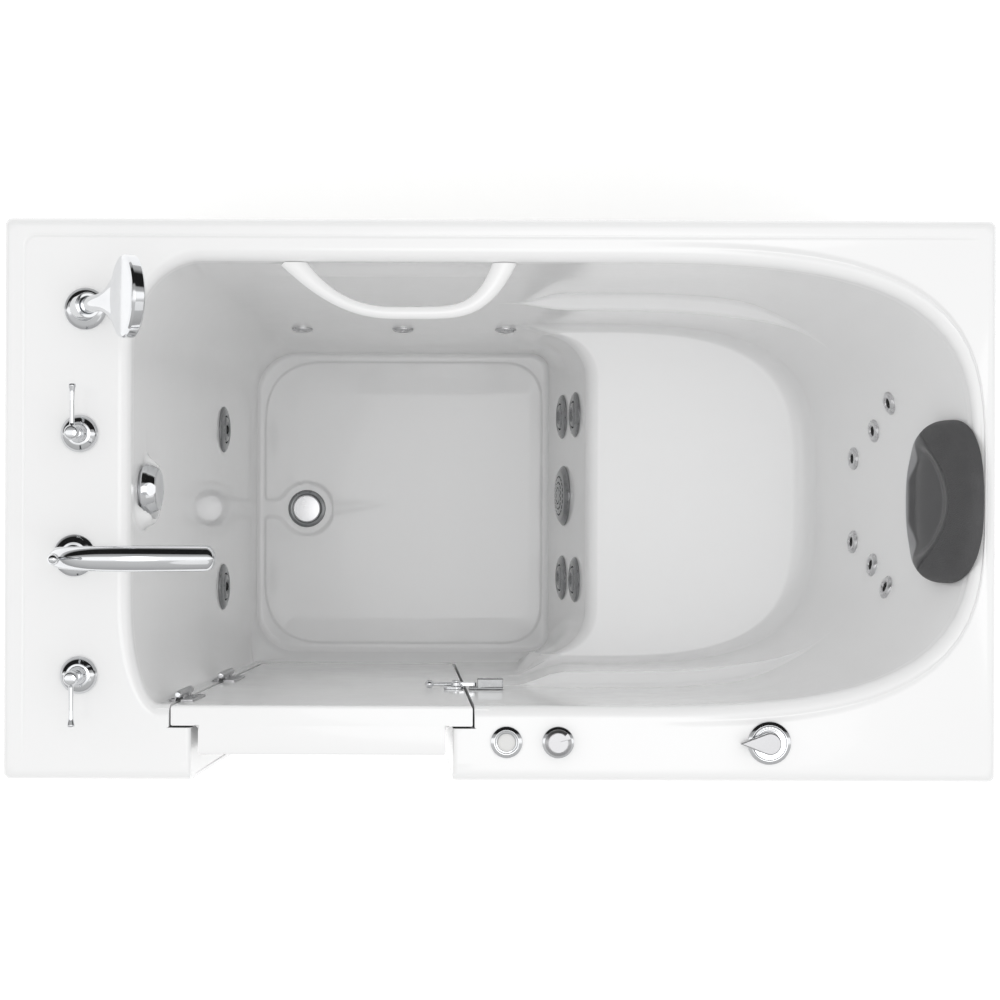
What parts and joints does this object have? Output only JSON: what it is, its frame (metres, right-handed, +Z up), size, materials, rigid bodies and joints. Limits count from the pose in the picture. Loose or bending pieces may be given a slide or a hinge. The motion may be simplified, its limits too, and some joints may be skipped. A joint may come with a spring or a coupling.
{
  "type": "walk-in bathtub",
  "caption": "Deep walk-in bathtub with an inward-opening side door, moulded seat, water jets, deck-mounted taps with hand shower, head pillow and a steel base frame.",
  "frame": {"origin": "floor level under the centre of the tub's footprint", "axes": "+X towards the seat end, +Y towards the wall side opposite the door, +Z up"},
  "size_m": [1.346, 0.762, 1.2693],
  "materials": {
    "white_acrylic": "glossy white moulded acrylic",
    "steel": "satin stainless and zinc-plated steel",
    "chrome": "bright polished chrome",
    "plated_plastic": "chrome-plated moulded plastic",
    "white_plastic": "smooth white moulded plastic",
    "black_plastic": "black moulded plastic",
    "black_rubber": "soft black rubber",
    "grey_foam": "dark grey leather-like skin over foam"
  },
  "bodies": {
    "tub": {"tub_shell": "white_acrylic", "grab_bar": "white_acrylic", "front_apron": "white_acrylic", "left_end_panel": "white_acrylic", "right_end_panel": "white_acrylic", "panel_screws": "steel", "base_frame": "steel", "frame_uprights": "steel", "levelling_feet": "steel", "seat_support": "steel", "equipment_board": "white_plastic", "hinge_frame_leaves": "chrome", "hinge_pins": "chrome", "latch_catch": "chrome", "spout": "chrome", "spout_escutcheon": "chrome", "aerator": "chrome", "valve_escutcheons": "chrome", "valve_bodies": "steel", "shower_holder": "chrome", "overflow_body": "steel", "overflow_pipe": "white_plastic", "drain_flange": "steel", "drain_tailpiece": "steel", "jet_rings": "plated_plastic", "jet_bodies": "white_plastic", "suction_cover": "plated_plastic", "back_wall_jets": "plated_plastic", "backrest_jets": "plated_plastic", "pillow": "grey_foam", "control_bezels": "chrome", "pump_wet_end": "black_plastic", "pump_motor": "steel", "air_blower": "black_plastic", "control_box": "white_plastic", "suction_pipe": "white_plastic", "water_manifold": "white_plastic", "air_manifold": "white_plastic"},
    "door": {"door_inner_leaf": "white_acrylic", "door_outer_leaf": "white_acrylic", "door_gasket": "black_rubber", "hinge_door_leaves": "chrome", "latch_bracket": "chrome"},
    "latch_lever": {"latch_lever": "chrome"},
    "hot_handle": {"hot_handle": "chrome"},
    "cold_handle": {"cold_handle": "chrome"},
    "diverter_knob": {"diverter_knob": "chrome"},
    "hand_shower": {"hand_shower": "plated_plastic", "hand_shower_face": "white_plastic"},
    "overflow_knob": {"overflow_knob": "plated_plastic"},
    "drain_stopper": {"drain_stopper": "chrome"},
    "push_button": {"push_button": "white_plastic"},
    "air_knob": {"air_knob": "chrome"},
    "water_diverter": {"water_diverter": "chrome"},
    "jet_nozzle_1": {"jet_nozzle_1": "plated_plastic"},
    "jet_nozzle_2": {"jet_nozzle_2": "plated_plastic"},
    "jet_nozzle_3": {"jet_nozzle_3": "plated_plastic"},
    "jet_nozzle_4": {"jet_nozzle_4": "plated_plastic"},
    "jet_nozzle_5": {"jet_nozzle_5": "plated_plastic"},
    "jet_nozzle_6": {"jet_nozzle_6": "plated_plastic"}
  },
  "joints": [
    {"name": "door_hinge", "type": "hinge", "parent": "tub", "child": "door", "pos_m": [-0.44001, -0.2695, 0.912], "axis": [-0.0479, 0, 0.9988], "range_deg": [0, 85]},
    {"name": "latch_lever_turn", "type": "hinge", "parent": "door", "child": "latch_lever", "pos_m": [-0.06373, -0.2744, 0.73], "axis": [0, 1, 0], "range_deg": [0, 90]},
    {"name": "hot_handle_turn", "type": "hinge", "parent": "tub", "child": "hot_handle", "pos_m": [-0.5695, 0.088, 1.04], "axis": [0, 0, 1], "range_deg": [0, 90]},
    {"name": "cold_handle_turn", "type": "hinge", "parent": "tub", "child": "cold_handle", "pos_m": [-0.5695, -0.239, 1.04], "axis": [0, 0, 1], "range_deg": [-90, 0]},
    {"name": "diverter_lift", "type": "slide", "parent": "tub", "child": "diverter_knob", "axis": [0, 0, 1], "range_m": [0, 0.012]},
    {"name": "hand_shower_lift", "type": "slide", "parent": "tub", "child": "hand_shower", "axis": [0.4226, 0, 0.9063], "range_m": [0, 0.15]},
    {"name": "overflow_knob_turn", "type": "hinge", "parent": "tub", "child": "overflow_knob", "pos_m": [-0.49513, 0.013, 0.94], "axis": [0.9958, 0, 0.0913], "range_deg": [0, 90]},
    {"name": "drain_stopper_lift", "type": "slide", "parent": "tub", "child": "drain_stopper", "axis": [0, 0, 1], "range_m": [0, 0.01]},
    {"name": "push_button_press", "type": "slide", "parent": "tub", "child": "push_button", "axis": [0, 0, -1], "range_m": [0, 0.0025], "stiffness_N_per_m": 400, "springref_m": -0.002},
    {"name": "air_knob_turn", "type": "hinge", "parent": "tub", "child": "air_knob", "pos_m": [0.08, -0.328, 1.016], "axis": [0, 0, 1], "range_deg": [0, 180]},
    {"name": "water_diverter_turn", "type": "hinge", "parent": "tub", "child": "water_diverter", "pos_m": [0.366, -0.328, 1.016], "axis": [0, 0, 1], "range_deg": [0, 180]},
    {"name": "jet_nozzle_1_turn", "type": "hinge", "parent": "tub", "child": "jet_nozzle_1", "pos_m": [-0.4456, 0.112, 0.4], "axis": [0.9958, 0, 0.0913], "range_deg": [-90, 90]},
    {"name": "jet_nozzle_2_turn", "type": "hinge", "parent": "tub", "child": "jet_nozzle_2", "pos_m": [-0.4456, -0.141, 0.4], "axis": [0.9958, 0, 0.0913], "range_deg": [-90, 90]},
    {"name": "jet_nozzle_3_turn", "type": "hinge", "parent": "tub", "child": "jet_nozzle_3", "pos_m": [0.12333, 0.14, 0.338], "axis": [-0.984, 0, 0.1783], "range_deg": [-90, 90]},
    {"name": "jet_nozzle_4_turn", "type": "hinge", "parent": "tub", "child": "jet_nozzle_4", "pos_m": [0.10466, 0.14, 0.235], "axis": [-0.984, 0, 0.1783], "range_deg": [-90, 90]},
    {"name": "jet_nozzle_5_turn", "type": "hinge", "parent": "tub", "child": "jet_nozzle_5", "pos_m": [0.12333, -0.13, 0.338], "axis": [-0.984, 0, 0.1783], "range_deg": [-90, 90]},
    {"name": "jet_nozzle_6_turn", "type": "hinge", "parent": "tub", "child": "jet_nozzle_6", "pos_m": [0.10466, -0.13, 0.235], "axis": [-0.984, 0, 0.1783], "range_deg": [-90, 90]}
  ],
  "couplings": [
    {"joint": "drain_stopper_lift", "follows": "overflow_knob_turn", "m_per_rad": 0.006366}
  ]
}
